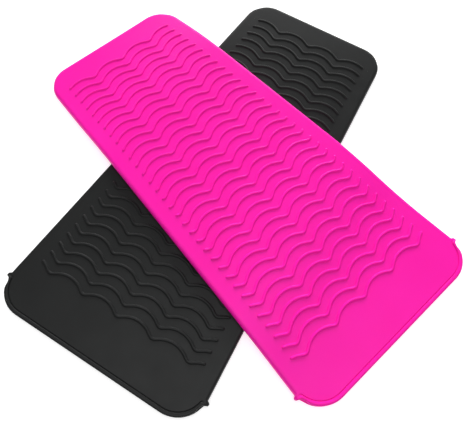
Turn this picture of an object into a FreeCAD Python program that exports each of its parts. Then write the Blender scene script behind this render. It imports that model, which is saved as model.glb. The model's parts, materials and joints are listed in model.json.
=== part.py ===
"""Pair of tapered silicone heat pouches for hot hair tools, one laid across the other.

Each pouch is two silicone sheets joined along both sides and one end. The wide end is the mouth: past the
two side nubs the sheets are free, so the upper lip lifts to let a hot iron in. Wavy ribs on the upper sheet
hold a hot tool clear of it. The lower pouch lies flat. The upper pouch lies across it and sags to the table
at both ends.

Pouch frame: X from the closed end to the mouth with X = 0 halfway, Y across, Z up from the underside.
Crossing frame: the lower pouch's own frame. Row frame: -Y halfway between the two mouths, origin under the
middle of the pair's bounding box. Millimetres throughout.
"""

import FreeCAD, Part
import math
import os

Vector = FreeCAD.Vector

# Pouch outline
LENGTH = 292.0
MOUTH_WIDTH = 143.0
CLOSED_WIDTH = 109.0
MOUTH_CORNER_RADIUS = 19.5
CLOSED_CORNER_RADIUS = 18.0

# Heights through one pouch, from its underside
SHEET = 1.8
SLOT = 1.6
SLOT_TOP = SHEET + SLOT
POUCH_TOP = SLOT_TOP + SHEET
RIB_HEIGHT = 0.9
RIM_HEIGHT = 0.5

# Side and end walls between the sheets
WALL_WIDTH = 5.0
CLOSED_WALL_REACH = 24.0

# Mouth: the lip is free past the hinge line
LIP_DEPTH = 14.5
LIP_GAP = 0.3
RIM_WIDTH = 2.2

# Side nubs just behind the lip
NUB_SETBACK = 2.9
NUB_REACH = 2.1
NUB_BASE = 3.6
NUB_TIP = 1.8
NUB_TIP_RADIUS = 0.7
NUB_SKIN = 0.4

# Wavy ribs
RIB_COUNT = 33
RIB_PITCH = 7.51
RIB_WIDTH = 2.0
LAST_CUSP_FROM_MOUTH = 30.2
RIB_SIDE_MARGIN = 10.5
WAVE_PERIOD = 25.0
WAVE_HEIGHT = 4.25
WAVE_SLOPE_DEG = 32.0
CUSP_RADIUS = 3.0
CUSPS_EACH_SIDE = 3

# How the upper pouch lies across the lower one
CROSS_ANGLE_DEG = 73.2
UPPER_CENTRE = Vector(-4.1, 8.5, 0)
REST_GAP = 0.35
SAG_START = 50.0
SAG_RUN = 82.0
SAG_DROP = POUCH_TOP + RIB_HEIGHT + REST_GAP

# Working sizes, larger than anything they cut
REACH = 400.0
TALL = 40.0


def half_width(x, inset=0.0):
    """Half the pouch's width at x, with both sides moved in by inset."""
    spread = (MOUTH_WIDTH - CLOSED_WIDTH) / 2
    side_angle = math.atan2(spread, LENGTH)
    middle = (MOUTH_WIDTH + CLOSED_WIDTH) / 4
    return middle + spread * x / LENGTH - inset / math.cos(side_angle)


def rounded_polygon(corners, radii):
    """Face with the given corners, each rounded by a tangent arc of its radius (0 leaves it sharp)."""
    edges = []
    last = None
    first = None
    count = len(corners)
    for i, corner in enumerate(corners):
        back = (corners[i - 1] - corner).normalize()
        ahead = (corners[(i + 1) % count] - corner).normalize()
        half_angle = back.getAngle(ahead) / 2
        if radii[i] > 0:
            reach = radii[i] / math.tan(half_angle)
            start = corner + back * reach
            end = corner + ahead * reach
            middle_way = (back + ahead).normalize()
            middle = corner + middle_way * (radii[i] / math.sin(half_angle) - radii[i])
            arc = Part.Arc(start, middle, end).toShape()
        else:
            start = end = corner
            arc = None
        if last is None:
            first = start
        else:
            edges.append(Part.LineSegment(last, start).toShape())
        if arc is not None:
            edges.append(arc)
        last = end
    edges.append(Part.LineSegment(last, first).toShape())
    return Part.Face(Part.Wire(edges))


def outline(inset=0.0):
    """The pouch's plan outline, moved in by inset all round."""
    closed = -LENGTH / 2 + inset
    mouth = LENGTH / 2 - inset
    corners = [
        Vector(closed, -half_width(closed, inset), 0),
        Vector(mouth, -half_width(mouth, inset), 0),
        Vector(mouth, half_width(mouth, inset), 0),
        Vector(closed, half_width(closed, inset), 0),
    ]
    closed_radius = CLOSED_CORNER_RADIUS - inset
    mouth_radius = MOUTH_CORNER_RADIUS - inset
    return rounded_polygon(corners, [closed_radius, mouth_radius, mouth_radius, closed_radius])


def plan_box(x0, x1, y0=-REACH, y1=REACH):
    """Rectangular plan face."""
    corners = [Vector(x0, y0, 0), Vector(x1, y0, 0), Vector(x1, y1, 0), Vector(x0, y1, 0)]
    return rounded_polygon(corners, [0, 0, 0, 0])


def hinge_x():
    """Where the lip's fold line crosses the pouch's axis."""
    return LENGTH / 2 - LIP_DEPTH


def nub_face(side):
    """Small rounded ear on the pouch's edge, just behind the lip. side is +1 or -1."""
    centre = hinge_x() - NUB_SETBACK
    foot_back = centre - NUB_BASE / 2
    foot_front = centre + NUB_BASE / 2
    tip_back = centre - NUB_TIP / 2
    tip_front = centre + NUB_TIP / 2
    corners = [
        Vector(foot_back, side * half_width(foot_back), 0),
        Vector(foot_front, side * half_width(foot_front), 0),
        Vector(tip_front, side * (half_width(centre) + NUB_REACH), 0),
        Vector(tip_back, side * (half_width(centre) + NUB_REACH), 0),
    ]
    return rounded_polygon(corners, [0, 0, NUB_TIP_RADIUS, NUB_TIP_RADIUS])


def wave_radii():
    """Radius of the wide arcs, so that they meet the cusps at the stated slope over the wave's height."""
    slope = math.radians(WAVE_SLOPE_DEG)
    flat = WAVE_PERIOD / 2 - WAVE_HEIGHT / math.tan(slope)
    both = flat / (math.sin(slope) - (1 - math.cos(slope)) / math.tan(slope))
    return both - CUSP_RADIUS


def wave_edge(cusp_x, offset):
    """One long edge of a rib, towards +Y: cusps point to the mouth, wide arcs bulge to the closed end."""
    slope = math.radians(WAVE_SLOPE_DEG)
    wide_radius = wave_radii()
    cusp_centre = cusp_x - CUSP_RADIUS
    wide_centre = cusp_x - WAVE_HEIGHT + wide_radius
    arcs = []
    for k in range(-CUSPS_EACH_SIDE, CUSPS_EACH_SIDE + 1):
        y = k * WAVE_PERIOD
        r = CUSP_RADIUS + offset
        arcs.append([
            Vector(cusp_centre + r * math.cos(a), y + r * math.sin(a), 0) for a in (-slope, 0, slope)
        ])
        if k < CUSPS_EACH_SIDE:
            y = (k + 0.5) * WAVE_PERIOD
            r = wide_radius - offset
            arcs.append([
                Vector(wide_centre - r * math.cos(a), y + r * math.sin(a), 0) for a in (-slope, 0, slope)
            ])
    return arcs


def rib_face(cusp_x):
    """One wavy rib, longer than the pouch is wide."""
    front = wave_edge(cusp_x, RIB_WIDTH / 2)
    back = [points[::-1] for points in wave_edge(cusp_x, -RIB_WIDTH / 2)[::-1]]
    arcs = front + back
    edges = []
    for i, points in enumerate(arcs):
        edges.append(Part.Arc(*points).toShape())
        after = arcs[(i + 1) % len(arcs)][0]
        edges.append(Part.LineSegment(points[2], after).toShape())
    return Part.Face(Part.Wire(edges))


def rib_zone():
    """The part of the pouch's plan that the ribs keep to."""
    x0 = -LENGTH / 2
    x1 = LENGTH / 2
    corners = [
        Vector(x0, -half_width(x0, RIB_SIDE_MARGIN), 0),
        Vector(x1, -half_width(x1, RIB_SIDE_MARGIN), 0),
        Vector(x1, half_width(x1, RIB_SIDE_MARGIN), 0),
        Vector(x0, half_width(x0, RIB_SIDE_MARGIN), 0),
    ]
    return rounded_polygon(corners, [0, 0, 0, 0])


def rib_faces():
    """All the ribs in plan, trimmed to the rib zone."""
    last_cusp = LENGTH / 2 - LAST_CUSP_FROM_MOUTH
    zone = rib_zone()
    return [rib_face(last_cusp - i * RIB_PITCH).common(zone) for i in range(RIB_COUNT)]


def sag_radius():
    """Radius of the two arcs that carry the upper pouch down to the table on each side."""
    return ((SAG_RUN / 2) ** 2 + (SAG_DROP / 2) ** 2) / SAG_DROP


def sag_height(y):
    """Height of the upper pouch's underside at a distance y from the lower pouch's long axis."""
    run = min(max(abs(y) - SAG_START, 0), SAG_RUN)
    nearest_end = min(run, SAG_RUN - run)
    fallen = sag_radius() - math.sqrt(sag_radius() ** 2 - nearest_end ** 2)
    return SAG_DROP - fallen if run < SAG_RUN / 2 else fallen


def sag_edges(height):
    """The upper pouch's line across the lower one: flat, two arcs down to the table each side, flat."""
    stops = [SAG_START + SAG_RUN * quarter / 4 for quarter in range(5)]
    left = [Vector(0, -y, sag_height(y) + height) for y in stops]
    right = [Vector(0, y, sag_height(y) + height) for y in stops]
    return [
        Part.LineSegment(Vector(0, -REACH, height), left[4]).toShape(),
        Part.Arc(left[4], left[3], left[2]).toShape(),
        Part.Arc(left[2], left[1], left[0]).toShape(),
        Part.LineSegment(left[0], right[0]).toShape(),
        Part.Arc(right[0], right[1], right[2]).toShape(),
        Part.Arc(right[2], right[3], right[4]).toShape(),
        Part.LineSegment(right[4], Vector(0, REACH, height)).toShape(),
    ]


def flat_layer(low, high):
    """Everything between two heights of a pouch that lies flat."""
    return Part.makeBox(2 * REACH, 2 * REACH, high - low, Vector(-REACH, -REACH, low))


def sagging_layer(low, high):
    """Everything between two heights of the pouch that lies across the other, in the crossing frame."""
    ends = [
        Part.LineSegment(Vector(0, side * REACH, low), Vector(0, side * REACH, high)).toShape()
        for side in (-1, 1)
    ]
    edges = sag_edges(low) + [ends[1]] + sag_edges(high)[::-1] + [ends[0]]
    profile = Part.Face(Part.Wire(Part.__sortEdges__(edges)))
    profile.translate(Vector(-REACH, 0, 0))
    return profile.extrude(Vector(2 * REACH, 0, 0))


def rotation(degrees):
    return FreeCAD.Rotation(Vector(0, 0, 1), degrees)


def slab(faces, low, high, layer, placement):
    """Solids over the given plan faces, between two heights of the pouch."""
    between = layer(low, high)
    solids = []
    for face in faces:
        column = face.extrude(Vector(0, 0, TALL))
        column.translate(Vector(0, 0, -TALL / 2))
        column.Placement = placement.multiply(column.Placement)
        solids += column.common(between).Solids
    return solids[0] if len(solids) == 1 else Part.makeCompound(solids)


def pouch(layer, placement):
    """Every piece of one pouch, in the crossing frame."""
    whole = outline()
    behind = plan_box(-REACH, hinge_x())
    lip = plan_box(hinge_x() + LIP_GAP, REACH)
    rim_band = whole.cut(outline(RIM_WIDTH))
    wall_band = whole.cut(outline(WALL_WIDTH)).common(behind)
    wall_end = -LENGTH / 2 + CLOSED_WALL_REACH
    plans = {
        "lower_sheet": ([whole], 0, SHEET),
        "upper_sheet": ([whole.common(behind)], SLOT_TOP, POUCH_TOP),
        "upper_lip": ([whole.common(lip)], SLOT_TOP, POUCH_TOP),
        "closed_end_wall": ([wall_band.common(plan_box(-REACH, wall_end))], SHEET, SLOT_TOP),
        "left_wall": ([wall_band.common(plan_box(wall_end, REACH, 0, REACH))], SHEET, SLOT_TOP),
        "right_wall": ([wall_band.common(plan_box(wall_end, REACH, -REACH, 0))], SHEET, SLOT_TOP),
        "lower_rim": ([rim_band.common(lip)], SHEET, SHEET + RIM_HEIGHT),
        "upper_rim": ([rim_band.common(lip)], POUCH_TOP, POUCH_TOP + RIM_HEIGHT),
        "left_nub": ([nub_face(1)], NUB_SKIN, POUCH_TOP - NUB_SKIN),
        "right_nub": ([nub_face(-1)], NUB_SKIN, POUCH_TOP - NUB_SKIN),
        "grip_ribs": (rib_faces(), POUCH_TOP, POUCH_TOP + RIB_HEIGHT),
    }
    return {
        name: slab([f for plan in faces for f in plan.Faces], low, high, layer, placement)
        for name, (faces, low, high) in plans.items()
    }


def build():
    """All nodes in the row frame, and the two lip hinges as (point, direction)."""
    flat = FreeCAD.Placement()
    across = FreeCAD.Placement(UPPER_CENTRE, rotation(CROSS_ANGLE_DEG))
    pouches = (("black", flat_layer, flat), ("pink", sagging_layer, across))
    nodes = {}
    for pouch_name, layer, placement in pouches:
        for name, shape in pouch(layer, placement).items():
            nodes[f"{pouch_name}_{name}"] = shape
    to_row = FreeCAD.Placement(Vector(0, 0, 0), rotation(-90 - CROSS_ANGLE_DEG / 2))
    box = FreeCAD.BoundBox()
    for shape in nodes.values():
        shape.Placement = to_row.multiply(shape.Placement)
        box.add(shape.optimalBoundingBox(False, False))
    centring = Vector(-box.Center.x, -box.Center.y, -box.ZMin)
    for shape in nodes.values():
        shape.translate(centring)
    hinges = {}
    for pouch_name, layer, placement in pouches:
        half_fold = half_width(hinge_x())
        fold_ends = [placement.multVec(Vector(hinge_x(), y, 0)).y for y in (-half_fold, half_fold)]
        lift = max(sag_height(y) for y in fold_ends) if layer is sagging_layer else 0
        on_pouch = Vector(hinge_x() + LIP_GAP / 2, 0, POUCH_TOP + lift)
        turned = to_row.multiply(placement)
        point = turned.multVec(on_pouch) + centring
        hinges[pouch_name] = (point, turned.Rotation.multVec(Vector(0, -1, 0)))
    return nodes, hinges


def main():
    os.makedirs("parts", exist_ok=True)
    nodes, hinges = build()
    for name, shape in nodes.items():
        if not shape.isValid():
            raise ValueError(f"{name} is not a valid shape")
        shape.exportStep(f"parts/{name}.step")
        print(f"{name}: {len(shape.Solids)} solid(s), {shape.Volume / 1000:.2f} cm3")
    for name, (point, direction) in hinges.items():
        print(f"{name} lip hinge at {tuple(round(c, 3) for c in point)} along "
              f"{tuple(round(c, 6) for c in direction)}")


main()
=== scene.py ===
"""Two silicone heat pouches for hot hair tools, the pink one lying across the black one.

Each pouch is drawn as two pieces, built in the pouch's own frame and then laid in place. The upper shell
holds the wavy ribs, the rounded sides, the nubs and the free lip with its raised rim. The lower sheet has the
rim that shows under the lip. Lengths are in millimetres until a piece is made.

Pouch frame: X from the closed end to the mouth with X = 0 halfway, Y across, Z up from the underside.
"""

import json
import math

import bpy
import numpy as np
from mathutils import Matrix, Vector


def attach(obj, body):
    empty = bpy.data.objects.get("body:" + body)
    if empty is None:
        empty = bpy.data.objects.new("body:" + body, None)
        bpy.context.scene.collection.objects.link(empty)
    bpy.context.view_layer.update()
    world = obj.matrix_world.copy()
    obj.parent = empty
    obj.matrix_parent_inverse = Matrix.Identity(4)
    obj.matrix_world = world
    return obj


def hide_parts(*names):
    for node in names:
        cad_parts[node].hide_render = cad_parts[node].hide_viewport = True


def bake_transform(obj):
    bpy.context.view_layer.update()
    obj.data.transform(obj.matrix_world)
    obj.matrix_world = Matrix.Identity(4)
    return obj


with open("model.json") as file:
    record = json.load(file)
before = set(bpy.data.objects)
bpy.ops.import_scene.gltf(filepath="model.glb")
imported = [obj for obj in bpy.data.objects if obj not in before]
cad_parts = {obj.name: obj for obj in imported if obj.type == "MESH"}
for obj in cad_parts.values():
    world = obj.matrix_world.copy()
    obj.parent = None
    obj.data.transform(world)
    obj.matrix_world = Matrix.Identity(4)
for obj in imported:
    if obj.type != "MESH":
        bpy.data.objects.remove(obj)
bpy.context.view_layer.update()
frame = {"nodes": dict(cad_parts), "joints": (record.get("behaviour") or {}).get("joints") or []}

MM = 0.001

# Pouch outline
LENGTH = 292.0
MOUTH_WIDTH = 143.0
CLOSED_WIDTH = 109.0
MOUTH_CORNER = 19.5
CLOSED_CORNER = 18.0
TAPER = (MOUTH_WIDTH - CLOSED_WIDTH) / 2 / LENGTH
SIDE_ANGLE = math.atan(TAPER)

# Heights through a pouch
SHEET = 1.8
SLOT_TOP = 3.4
POUCH_TOP = 5.2
RIB_HEIGHT = 0.9

# The lip is free past the fold line, which the record's hinge marks
LIP_DEPTH = 14.5
LIP_GAP = 0.3
HINGE_X = LENGTH / 2 - LIP_DEPTH + LIP_GAP / 2
LIP_SHARE_BEFORE_NUB = 0.4
LIP_SHARE_PAST_NUB = 1.4

# Side nubs, and the small dip in the lip's outline beside each
NUB_SETBACK = 2.9
NUB_X = LENGTH / 2 - LIP_DEPTH - NUB_SETBACK
NUB_REACH = 1.9
NUB_HALF_WIDTH = 1.15
DIP_PAST_NUB = 3.6
DIP_X = NUB_X + DIP_PAST_NUB
UPPER_DIP = 1.0
LOWER_DIP = 0.2
DIP_HALF_WIDTH = 2.2
EDGE_SHIFT_REACH = 2.4
EDGE_SHIFT_POWER = 0.6

# Wavy ribs
RIB_COUNT = 33
RIB_PITCH = 7.51
RIB_HALF_WIDTH = 1.0
RIB_ROUNDNESS = 2.6
RIB_FULLNESS = 0.8
RIB_END_MARGIN = 10.5
WAVE_FADE_FROM_SIDE = 8.0
WAVE_GONE_FROM_SIDE = 3.6
WAVE_FADE_PAST_RIBS = 5.0
STRAIGHT_AT_CLOSED_END = 1.0
LAST_CUSP_FROM_MOUTH = 30.2
WAVE_PERIOD = 25.0
WAVE_HEIGHT = 4.25
WAVE_SLOPE = math.radians(32)
CUSP_RADIUS = 3.0

# How the pink pouch sags over the black one, across it
SAG_START = 50.0
SAG_RUN = 82.0
SAG_DROP = 6.45

# Inside of the pocket: where the sheets part, measured in from the outline
WALL_INNER_START = 4.0
WALL_INNER_END = 5.2
WALL_SKIN_GAP = 0.05

# Mesh density
CORE_INSET = 3.2
INNER_COLUMNS = 85
INNER_REACH = 38.0
TOWARDS_END_COLUMNS = 18
RIB_END_COLUMNS = 14
MARGIN_COLUMNS = 7
CORNER_ROWS = 14
SHEET_COLUMNS = 61
SHEET_ROW_STEP = 3.0
PLAIN_ROW_STEP = 1.0
NUB_ROW_STEP = 0.3
ROWS_BEFORE_NUB = 5.0
ROWS_PAST_NUB = 8.0
SMALLEST_ROW_GAP = 0.3
SLOPE_STEP = 0.01


def smoothstep(low, high, value):
    """0 below low, 1 above high, smooth between."""
    t = np.clip((np.asarray(value, float) - low) / (high - low), 0, 1)
    return t * t * (3 - 2 * t)


# Outline


def side_half_width(x, inset=0.0):
    """Half the width between the straight sides, each moved in by inset."""
    middle = (MOUTH_WIDTH + CLOSED_WIDTH) / 4
    return middle + TAPER * x - inset / math.cos(SIDE_ANGLE)


def corner_centre(end):
    """Centre and radius of the +Y corner arc. end is -1 for the closed end, +1 for the mouth."""
    radius = MOUTH_CORNER if end > 0 else CLOSED_CORNER
    x = end * (LENGTH / 2 - radius)
    return x, side_half_width(x, radius), radius


def outline_half_width(x, inset):
    """Half the width of the rounded outline moved in by inset."""
    x = np.asarray(x, float)
    half = side_half_width(x, inset)
    for end in (-1, 1):
        cx, cy, radius = corner_centre(end)
        tangent = cx - (radius - inset) * math.sin(SIDE_ANGLE)
        past = (x - tangent) * end > 0
        rise = np.sqrt(np.clip((radius - inset) ** 2 - (x - cx) ** 2, 0, None))
        half = np.where(past, cy + rise, half)
    return half


def side_normal(x):
    """Outward normal (x part, y part) of the inset outline's +Y side at x."""
    x = np.asarray(x, float)
    nx = np.full_like(x, -math.sin(SIDE_ANGLE))
    for end in (-1, 1):
        cx, cy, radius = corner_centre(end)
        reach = radius - CORE_INSET
        past = (x - (cx - reach * math.sin(SIDE_ANGLE))) * end > 0
        nx = np.where(past, np.clip((x - cx) / reach, -1, 1), nx)
    return nx, np.sqrt(np.clip(1 - nx ** 2, 0, None))


# Wave


def wide_radius():
    """Radius of the wide arcs that join the cusps at the wave's slope."""
    flat = WAVE_PERIOD / 2 - WAVE_HEIGHT / math.tan(WAVE_SLOPE)
    both = flat / (math.sin(WAVE_SLOPE) - (1 - math.cos(WAVE_SLOPE)) / math.tan(WAVE_SLOPE))
    return both - CUSP_RADIUS


def wave(y):
    """The ribs' line: half the wave's height at a cusp, minus that halfway between cusps."""
    half_period = WAVE_PERIOD / 2
    from_cusp = np.abs((y + half_period) % WAVE_PERIOD - half_period)
    from_wide = half_period - from_cusp
    wide = wide_radius()
    slope_sin = math.sin(WAVE_SLOPE)
    cusp_end = CUSP_RADIUS * slope_sin
    cusp_drop = CUSP_RADIUS * (1 - math.cos(WAVE_SLOPE))
    line = -cusp_drop - (from_cusp - cusp_end) * math.tan(WAVE_SLOPE)
    cusp = np.sqrt(np.clip(CUSP_RADIUS ** 2 - from_cusp ** 2, 0, None)) - CUSP_RADIUS
    bulge = wide - WAVE_HEIGHT - np.sqrt(np.clip(wide ** 2 - from_wide ** 2, 0, None))
    line = np.where(from_cusp < cusp_end, cusp, line)
    line = np.where(from_wide < wide * slope_sin, bulge, line)
    return line + WAVE_HEIGHT / 2


def rib_line(y, half, strength):
    """The wave, fading out beside the ribs' ends. half is the outline's half width there."""
    fade = smoothstep(half - WAVE_FADE_FROM_SIDE, half - WAVE_GONE_FROM_SIDE, np.abs(y))
    return strength * wave(y) * (1 - fade)


def rib_profile(distance):
    """Height of a rib over the sheet at a distance from its centre line: a round top and steep sides."""
    t = np.clip(distance / RIB_HALF_WIDTH, 0, 1)
    return RIB_HEIGHT * (1 - t ** RIB_ROUNDNESS) ** RIB_FULLNESS


# Grids


def spaced(start, stop, step):
    """Evenly spaced values from start up to but not including stop, about step apart."""
    count = max(1, round(abs(stop - start) / step))
    return list(np.linspace(start, stop, count, endpoint=False))


def corner_rows(end):
    """Row positions round a corner arc, spaced by equal angle, from the pouch's end inwards."""
    cx, _, radius = corner_centre(end)
    turns = np.linspace(0, math.pi / 2, CORNER_ROWS)
    return [cx + end * (radius - CORE_INSET) * math.cos(a) for a in turns]


def mouth_rows():
    """Row positions from behind the nubs to the mouth, closest together past the nubs."""
    nub_end = NUB_X + ROWS_PAST_NUB
    beside_nub = spaced(NUB_X - ROWS_BEFORE_NUB, nub_end, NUB_ROW_STEP)
    return beside_nub + [x for x in corner_rows(1)[::-1] if x > nub_end]


# Mesh rows beside each rib's centre line, closest together at its steep sides
RIB_SIDE_OFFSETS = (0.2, 0.45, 0.68, 0.84, 0.94, 1.0, 1.2, 1.7, 2.4, 3.1)
RIB_OFFSETS = (-RIB_PITCH / 2, *[-d for d in RIB_SIDE_OFFSETS[::-1]], 0.0, *RIB_SIDE_OFFSETS)
SQUARE_TO_RIB = 1.3
SQUARE_TO_POUCH = 3.4


def shell_rows():
    """Rows of the upper shell as (x, offset from a rib's line or None, wave strength), closed end first."""
    last_mean = LENGTH / 2 - LAST_CUSP_FROM_MOUTH - WAVE_HEIGHT / 2
    means = [last_mean - (RIB_COUNT - 1 - i) * RIB_PITCH for i in range(RIB_COUNT)]
    first_row = means[0] - RIB_PITCH / 2
    rows = []
    closed = corner_rows(-1)
    flat_until = closed[0] + STRAIGHT_AT_CLOSED_END
    for x in [x for x in closed if x < first_row - SMALLEST_ROW_GAP]:
        rows.append((x, None, smoothstep(flat_until, first_row, x)))
    for mean in means:
        rows += [(mean, offset, 1.0) for offset in RIB_OFFSETS]
    last_row = last_mean + RIB_PITCH / 2
    after = spaced(last_row, NUB_X - ROWS_BEFORE_NUB, PLAIN_ROW_STEP) + mouth_rows()
    rows += [(x, None, 1 - smoothstep(last_row, last_row + WAVE_FADE_PAST_RIBS, x)) for x in after]
    return rows


def column_positions(half_straight, half):
    """Y of every column in a row: even spacing in the middle, and closest together round the ribs' ends."""
    inner = np.linspace(-INNER_REACH, INNER_REACH, INNER_COLUMNS)
    rib_end = half_straight + CORE_INSET - RIB_END_MARGIN
    towards_end = np.linspace(INNER_REACH, rib_end - 2 * RIB_HALF_WIDTH, TOWARDS_END_COLUMNS)[1:]
    round_end = np.linspace(rib_end - 2 * RIB_HALF_WIDTH, rib_end + RIB_HALF_WIDTH, RIB_END_COLUMNS)[1:]
    margin = np.linspace(rib_end + RIB_HALF_WIDTH, half_straight, MARGIN_COLUMNS)[1:]
    outer = np.concatenate([towards_end, round_end, margin])
    return np.concatenate([-outer[::-1], inner, outer]) * half / half_straight


def shell_core():
    """Grid of the upper shell's top inside the rounded edge: arrays x, y and height over the pouch's top."""
    xs, ys, zs = [], [], []
    for x, rib_offset, strength in shell_rows():
        offset = rib_offset or 0.0
        row_x = x + offset
        half = float(outline_half_width(row_x, CORE_INSET))
        y = column_positions(side_half_width(row_x, CORE_INSET), half)
        outer_half = side_half_width(x)
        line = rib_line(y, outer_half, strength)
        line_left = rib_line(y + SLOPE_STEP, outer_half, strength)
        line_right = rib_line(y - SLOPE_STEP, outer_half, strength)
        slope = (line_left - line_right) / (2 * SLOPE_STEP)
        along = 1 / np.sqrt(1 + slope ** 2)
        square = 1 - smoothstep(SQUARE_TO_RIB, SQUARE_TO_POUCH, abs(offset))
        row_y = y - offset * slope * along * square
        row_y[0], row_y[-1] = y[0], y[-1]
        xs.append(x + line + offset * (along * square + 1 - square))
        ys.append(row_y)
        past_end = np.clip(np.abs(y) - (outer_half - RIB_END_MARGIN - RIB_HALF_WIDTH), 0, None)
        height = rib_profile(np.hypot(offset, past_end))
        zs.append(np.zeros_like(y) if rib_offset is None else height)
    return np.array(xs), np.array(ys), np.array(zs)


def sheet_core():
    """Grid of the lower sheet, with rows and columns only as close as its outline needs."""
    closed = corner_rows(-1)
    middle = spaced(closed[-1] + SHEET_ROW_STEP, NUB_X - ROWS_BEFORE_NUB, SHEET_ROW_STEP)
    x = np.array(closed + middle + mouth_rows())
    half = outline_half_width(x, CORE_INSET)
    across = np.linspace(-1, 1, SHEET_COLUMNS)
    grid_x = np.repeat(x[:, None], SHEET_COLUMNS, 1)
    return grid_x, half[:, None] * across[None, :], np.zeros_like(grid_x)


def boundary(count_rows, count_columns):
    """Grid indices (row, column) once round the grid's edge, anticlockwise seen from above."""
    rows, columns = count_rows - 1, count_columns - 1
    right = [(i, 0) for i in range(rows)]
    mouth = [(rows, j) for j in range(columns)]
    left = [(i, columns) for i in range(rows, 0, -1)]
    closed = [(0, j) for j in range(columns, 0, -1)]
    return right + mouth + left + closed


def lip_share(x):
    """0 on the closed sides, 1 past the nubs where the sheets are free."""
    return smoothstep(NUB_X - LIP_SHARE_BEFORE_NUB, NUB_X + LIP_SHARE_PAST_NUB, x)


def edge_shift(x, dip_depth, share):
    """How far the nubs push the outline out at x, and the dips past them pull it in, times share."""
    nub = NUB_REACH * np.exp(-(np.abs(x - NUB_X) / NUB_HALF_WIDTH) ** 4)
    dip = dip_depth * np.exp(-((x - DIP_X) / DIP_HALF_WIDTH) ** 2)
    return (nub - dip) * share


# Edge profiles, from the core outwards, as (inset from the outline, height over the sheet's top)
PLAIN_SHOULDER = (
    (2.7, 0.0), (2.1, -0.03), (1.6, -0.1), (1.15, -0.24), (0.75, -0.47), (0.4, -0.82),
    (0.15, -1.22), (0.0, -1.8),
)
RIM_SHOULDER = (
    (2.95, -0.02), (2.85, -0.6), (2.6, -0.65), (2.45, 0.0), (2.2, 0.36), (1.2, 0.4), (0.4, 0.36),
    (0.08, 0.0),
)

# Feet, with heights from the underside: the upper shell's, where its sides are closed and at the free lip
SHELL_FOOT_CLOSED = ((0.0, 2.4), (0.0, 1.0), (0.12, 0.5), (0.45, 0.2), (0.95, 0.12), (1.1, 0.5), (1.2, 1.2))
SHELL_FOOT_LIP = ((0.0, 4.6), (0.0, 4.0), (0.1, 3.65), (0.35, 3.45), (0.7, 3.4), (1.4, 3.4), (2.4, 3.4))

# The lower sheet's: tucked inside the shell's sides, and out to the rim at the mouth
SHEET_FOOT_CLOSED = ((1.45, 1.4), (1.45, 0.9), (1.5, 0.25), (1.7, 0.05), (2.0, 0.0), (2.5, 0.0))
SHEET_FOOT_LIP = ((0.0, 1.5), (0.0, 0.9), (0.15, 0.35), (0.5, 0.07), (0.9, 0.0), (1.8, 0.0))
SHEET_TUCK = 1.5


def edge_rings(lip, top, shoulder_plain, shoulder_lip, foot_plain, foot_lip):
    """Rings of (inset, height) arrays: the shoulder, measured from top, then the foot at its own heights."""
    rings = []
    for (plain_in, plain_z), (lip_in, lip_z) in zip(shoulder_plain, shoulder_lip):
        rings.append((plain_in + (lip_in - plain_in) * lip, top + plain_z + (lip_z - plain_z) * lip))
    for (plain_in, plain_z), (lip_in, lip_z) in zip(foot_plain, foot_lip):
        rings.append((plain_in + (lip_in - plain_in) * lip, plain_z + (lip_z - plain_z) * lip))
    return rings


def skin(core, rings, under, dip_depth):
    """Closed mesh data: the core grid on top, rings round its edge, and the same grid at height under."""
    x, y, z = core
    rows, columns = x.shape
    loop = boundary(rows, columns)
    loop_rows = np.array([i for i, _ in loop])
    loop_columns = np.array([j for _, j in loop])
    edge_x, edge_y = x[loop_rows, loop_columns], y[loop_rows, loop_columns]
    normal_x, normal_y = side_normal(edge_x)
    normal_y = normal_y * np.sign(edge_y)
    at_end = (loop_rows == 0) | (loop_rows == rows - 1)
    end = np.where(loop_rows == 0, -1.0, 1.0)
    normal_x = np.where(at_end, end, normal_x)
    normal_y = np.where(at_end, 0.0, normal_y)
    points = [np.stack([x, y, z], -1).reshape(-1, 3)]
    for inset, height in rings:
        share = np.clip(1 - inset / EDGE_SHIFT_REACH, 0, 1) ** EDGE_SHIFT_POWER
        out = CORE_INSET - inset + np.where(at_end, 0.0, edge_shift(edge_x, dip_depth, share))
        points.append(np.stack([edge_x + normal_x * out, edge_y + normal_y * out, height + 0 * edge_x], -1))
    points.append(np.stack([x, y, under], -1).reshape(-1, 3))

    faces = []
    grid = np.arange(rows * columns).reshape(rows, columns)
    quads = np.stack([grid[:-1, :-1], grid[1:, :-1], grid[1:, 1:], grid[:-1, 1:]], -1).reshape(-1, 4)
    faces.append(quads)
    inner = grid[loop_rows, loop_columns]
    start = rows * columns
    for _ in rings:
        outer = start + np.arange(len(loop))
        faces.append(np.stack([inner, outer, np.roll(outer, -1), np.roll(inner, -1)], -1))
        inner = outer
        start += len(loop)
    last = start + grid[loop_rows, loop_columns]
    faces.append(np.stack([inner, last, np.roll(last, -1), np.roll(inner, -1)], -1))
    faces.append(start + quads[:, ::-1])
    return np.concatenate(points), np.concatenate(faces)


def upper_shell():
    """Top sheet, ribs, closed sides, nubs and free lip, in the pouch's frame."""
    x, y, z = shell_core()
    loop = boundary(*x.shape)
    edge_x = np.array([x[i, j] for i, j in loop])
    lip = lip_share(edge_x)
    rings = edge_rings(lip, POUCH_TOP, PLAIN_SHOULDER, RIM_SHOULDER, SHELL_FOOT_CLOSED, SHELL_FOOT_LIP)
    inside = np.minimum(outline_half_width(x, 0.0) - np.abs(y), x + LENGTH / 2)
    wall = (1 - smoothstep(WALL_INNER_START, WALL_INNER_END, inside)) * (1 - lip_share(x))
    under = SLOT_TOP - (SLOT_TOP - SHEET - WALL_SKIN_GAP) * wall
    return skin((x, y, z + POUCH_TOP), rings, under, UPPER_DIP)


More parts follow.
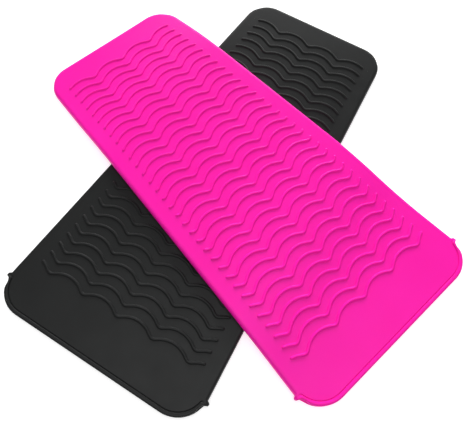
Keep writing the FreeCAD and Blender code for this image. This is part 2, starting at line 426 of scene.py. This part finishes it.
def lower_sheet():
    """Lower sheet with the rim that shows under the lip, in the pouch's frame."""
    x, y, z = sheet_core()
    loop = boundary(*x.shape)
    edge_x = np.array([x[i, j] for i, j in loop])
    lip = lip_share(edge_x)
    tucked = tuple((max(inset, SHEET_TUCK), 0.0) for inset, _ in RIM_SHOULDER)
    rings = edge_rings(lip, SHEET, tucked, RIM_SHOULDER, SHEET_FOOT_CLOSED, SHEET_FOOT_LIP)
    return skin((x, y, z + SHEET), rings, 0.0 * x, LOWER_DIP)


# Placing


def pouch_place(joint_name):
    """Matrix from a pouch's frame to the row frame, in metres, worked out from its lip hinge."""
    joint = next(j for j in frame["joints"] if j["name"] == joint_name)
    across = -Vector(joint["axis"]).normalized()
    up = Vector((0, 0, 1))
    along = across.cross(up)
    turn = Matrix((along, across, up)).transposed().to_4x4()
    hinge = Vector(joint["pos_m"])
    origin = Vector((hinge.x, hinge.y, 0)) - along * HINGE_X * MM
    return Matrix.Translation(origin) @ turn


def sag(across_black):
    """Height of the pink pouch's underside at a distance from the black pouch's long axis."""
    half_run = SAG_RUN / 2
    half_drop = SAG_DROP / 2
    radius = (half_run ** 2 + half_drop ** 2) / (2 * half_drop)
    run = np.clip(np.abs(across_black) - SAG_START, 0, SAG_RUN)
    near = np.minimum(run, SAG_RUN - run)
    fallen = radius - np.sqrt(radius ** 2 - near ** 2)
    return np.where(run < half_run, SAG_DROP - fallen, fallen)


def laid(points, place, black_place, rests_on_black):
    """Points moved to the row frame in metres, sagging over the black pouch if the pouch rests on it."""
    flat = np.array(place)
    moved = points * MM @ flat[:3, :3].T + flat[:3, 3]
    if rests_on_black:
        back = np.array(black_place.inverted())
        across = (moved @ back[:3, :3].T + back[:3, 3])[:, 1]
        moved[:, 2] += sag(across / MM) * MM
    return moved


def make_piece(name, data, material, place, rests_on_black):
    """Mesh object from pouch-frame data, smooth shaded."""
    points, faces = data
    mesh = bpy.data.meshes.new(name)
    mesh.from_pydata(laid(points, place, BLACK_PLACE, rests_on_black).tolist(), [], faces.tolist())
    mesh.polygons.foreach_set("use_smooth", [True] * len(mesh.polygons))
    mesh.materials.append(material)
    piece = bpy.data.objects.new(name, mesh)
    bpy.context.scene.collection.objects.link(piece)
    return piece


# Materials

SILICONE_IOR = 1.41
SILICONE_SPECULAR = 0.27
SCATTER_RADIUS = (1.0, 0.35, 0.3)
SCATTER_DEPTH = 0.002
SILICONE_ROUGHNESS = 0.4
ROUGHNESS_SPREAD = 0.05
MOTTLE_SCALE = 38.0
MOTTLE_DETAIL = 4.0
GLOSS_SCALE = 90.0
GLOSS_DETAIL = 5.0
NOISE_LOW = 0.3
NOISE_HIGH = 0.7
GRAIN_SCALE = 2200.0
GRAIN_DETAIL = 2.0
GRAIN_STRENGTH = 0.25
GRAIN_DEPTH = 0.00006


def noise(nodes, links, position, scale, detail):
    """Noise texture read at position."""
    texture = nodes.new("ShaderNodeTexNoise")
    texture.inputs["Scale"].default_value = scale
    texture.inputs["Detail"].default_value = detail
    links.new(position, texture.inputs["Vector"])
    return texture.outputs["Fac"]


def silicone(name, dark, light, subsurface):
    """Moulded silicone: a faint mottle from dark to light, a fine matt grain, and uneven gloss."""
    material = bpy.data.materials.new(name)
    material.use_nodes = True
    nodes = material.node_tree.nodes
    links = material.node_tree.links
    shader = nodes["Principled BSDF"]
    shader.inputs["Subsurface Weight"].default_value = subsurface
    shader.inputs["Subsurface Radius"].default_value = SCATTER_RADIUS
    shader.inputs["Subsurface Scale"].default_value = SCATTER_DEPTH
    shader.inputs["IOR"].default_value = SILICONE_IOR
    shader.inputs["Specular IOR Level"].default_value = SILICONE_SPECULAR
    position = nodes.new("ShaderNodeTexCoord").outputs["Object"]

    tone = nodes.new("ShaderNodeMix")
    tone.data_type = "RGBA"
    tone.inputs["A"].default_value = (*dark, 1)
    tone.inputs["B"].default_value = (*light, 1)
    mottle = noise(nodes, links, position, MOTTLE_SCALE, MOTTLE_DETAIL)
    links.new(mottle, tone.inputs["Factor"])
    links.new(tone.outputs["Result"], shader.inputs["Base Color"])

    gloss = nodes.new("ShaderNodeMapRange")
    gloss.inputs["From Min"].default_value = NOISE_LOW
    gloss.inputs["From Max"].default_value = NOISE_HIGH
    gloss.inputs["To Min"].default_value = SILICONE_ROUGHNESS - ROUGHNESS_SPREAD
    gloss.inputs["To Max"].default_value = SILICONE_ROUGHNESS + ROUGHNESS_SPREAD
    links.new(noise(nodes, links, position, GLOSS_SCALE, GLOSS_DETAIL), gloss.inputs["Value"])
    links.new(gloss.outputs["Result"], shader.inputs["Roughness"])

    bump = nodes.new("ShaderNodeBump")
    bump.inputs["Strength"].default_value = GRAIN_STRENGTH
    bump.inputs["Distance"].default_value = GRAIN_DEPTH
    links.new(noise(nodes, links, position, GRAIN_SCALE, GRAIN_DETAIL), bump.inputs["Height"])
    links.new(bump.outputs["Normal"], shader.inputs["Normal"])
    return material


def light_table(name, colour, roughness, glow):
    """Plain pale surface that glows, so that shadows on it stay light."""
    material = bpy.data.materials.new(name)
    material.use_nodes = True
    shader = material.node_tree.nodes["Principled BSDF"]
    shader.inputs["Base Color"].default_value = (*colour, 1)
    shader.inputs["Roughness"].default_value = roughness
    shader.inputs["Emission Color"].default_value = (1, 1, 1, 1)
    shader.inputs["Emission Strength"].default_value = glow
    return material


BLACK = silicone("black_silicone", (0.0102, 0.0107, 0.0107), (0.0150, 0.0157, 0.0157), 0.0)
PINK = silicone("pink_silicone", (0.92, 0.006, 0.365), (0.97, 0.010, 0.415), 0.1)

# Pieces

BLACK_PLACE = pouch_place("black_lip_lift")
PINK_PLACE = pouch_place("pink_lip_lift")
UPPER_NODES = (
    "upper_sheet",
    "upper_lip",
    "upper_rim",
    "closed_end_wall",
    "left_wall",
    "right_wall",
    "left_nub",
    "right_nub",
    "grip_ribs",
)
LOWER_NODES = ("lower_sheet", "lower_rim")
SHELL = upper_shell()
LOWER = lower_sheet()

for colour, material, place in (("black", BLACK, BLACK_PLACE), ("pink", PINK, PINK_PLACE)):
    resting = colour == "pink"
    shell = make_piece(f"{colour}_shell", SHELL, material, place, resting)
    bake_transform(shell)
    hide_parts(*[f"{colour}_{node}" for node in UPPER_NODES])
    base = make_piece(f"{colour}_lower_sheet_skin", LOWER, material, place, resting)
    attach(base, f"{colour}_pouch")
    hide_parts(*[f"{colour}_{node}" for node in LOWER_NODES])
    for node_name, node in frame["nodes"].items():
        if node_name.startswith(colour):
            node.data.materials.clear()
            node.data.materials.append(material)

# Stage

FLOOR_HALF = 6
FLOOR_DROP = 0.0001

floor_mesh = bpy.data.meshes.new("floor")
floor_corners = [(x * FLOOR_HALF, y * FLOOR_HALF, 0) for x, y in ((-1, -1), (1, -1), (1, 1), (-1, 1))]
floor_mesh.from_pydata(floor_corners, [], [(0, 1, 2, 3)])
floor_mesh.materials.append(light_table("floor", (0.75, 0.75, 0.75), 0.8, 0.6))
floor = bpy.data.objects.new("floor", floor_mesh)
floor.location.z = -FLOOR_DROP
bpy.context.scene.collection.objects.link(floor)


def softbox(name, location, target, size, power, glossy=True):
    """Square area light facing target. Without glossy it lights surfaces but isn't mirrored in them."""
    lamp = bpy.data.lights.new(name, "AREA")
    lamp.size = size
    lamp.energy = power
    holder = bpy.data.objects.new(name, lamp)
    holder.location = location
    holder.rotation_euler = (Vector(target) - Vector(location)).to_track_quat("-Z", "Y").to_euler()
    holder.visible_glossy = glossy
    bpy.context.scene.collection.objects.link(holder)


softbox("key", (0.5, 2.4, 1.0), (0, 0, 0), 1.2, 62, glossy=False)
softbox("shine", (0.4, 2.0, 0.45), (0, 0, 0), 1.6, 28)
softbox("top", (0.0, -0.25, 1.5), (0, 0, 0), 1.3, 9)


def studio_world(horizon, zenith):
    """White surround that fades evenly from the horizon's strength to the one straight overhead."""
    world = bpy.data.worlds.new("studio")
    world.use_nodes = True
    nodes = world.node_tree.nodes
    links = world.node_tree.links
    nodes["Background"].inputs["Color"].default_value = (1, 1, 1, 1)
    direction = nodes.new("ShaderNodeTexCoord").outputs["Generated"]
    split = nodes.new("ShaderNodeSeparateXYZ")
    fade = nodes.new("ShaderNodeMapRange")
    fade.inputs["To Min"].default_value = horizon
    fade.inputs["To Max"].default_value = zenith
    links.new(direction, split.inputs["Vector"])
    links.new(split.outputs["Z"], fade.inputs["Value"])
    links.new(fade.outputs["Result"], nodes["Background"].inputs["Strength"])
    return world


bpy.context.scene.world = studio_world(0.5, 0.25)
bpy.context.scene.view_settings.view_transform = "Standard"

# Camera

camera_data = bpy.data.cameras.new("camera")
camera_data.lens = 37.65
camera_data.sensor_width = 36.0
camera_data.clip_start = 0.01
camera = bpy.data.objects.new("camera", camera_data)
camera.location = (-0.016244, -0.156441, 0.295509)
camera.rotation_euler = [math.radians(a) for a in (24.058, -1.239, -5.476)]
bpy.context.scene.collection.objects.link(camera)
bpy.context.scene.camera = camera
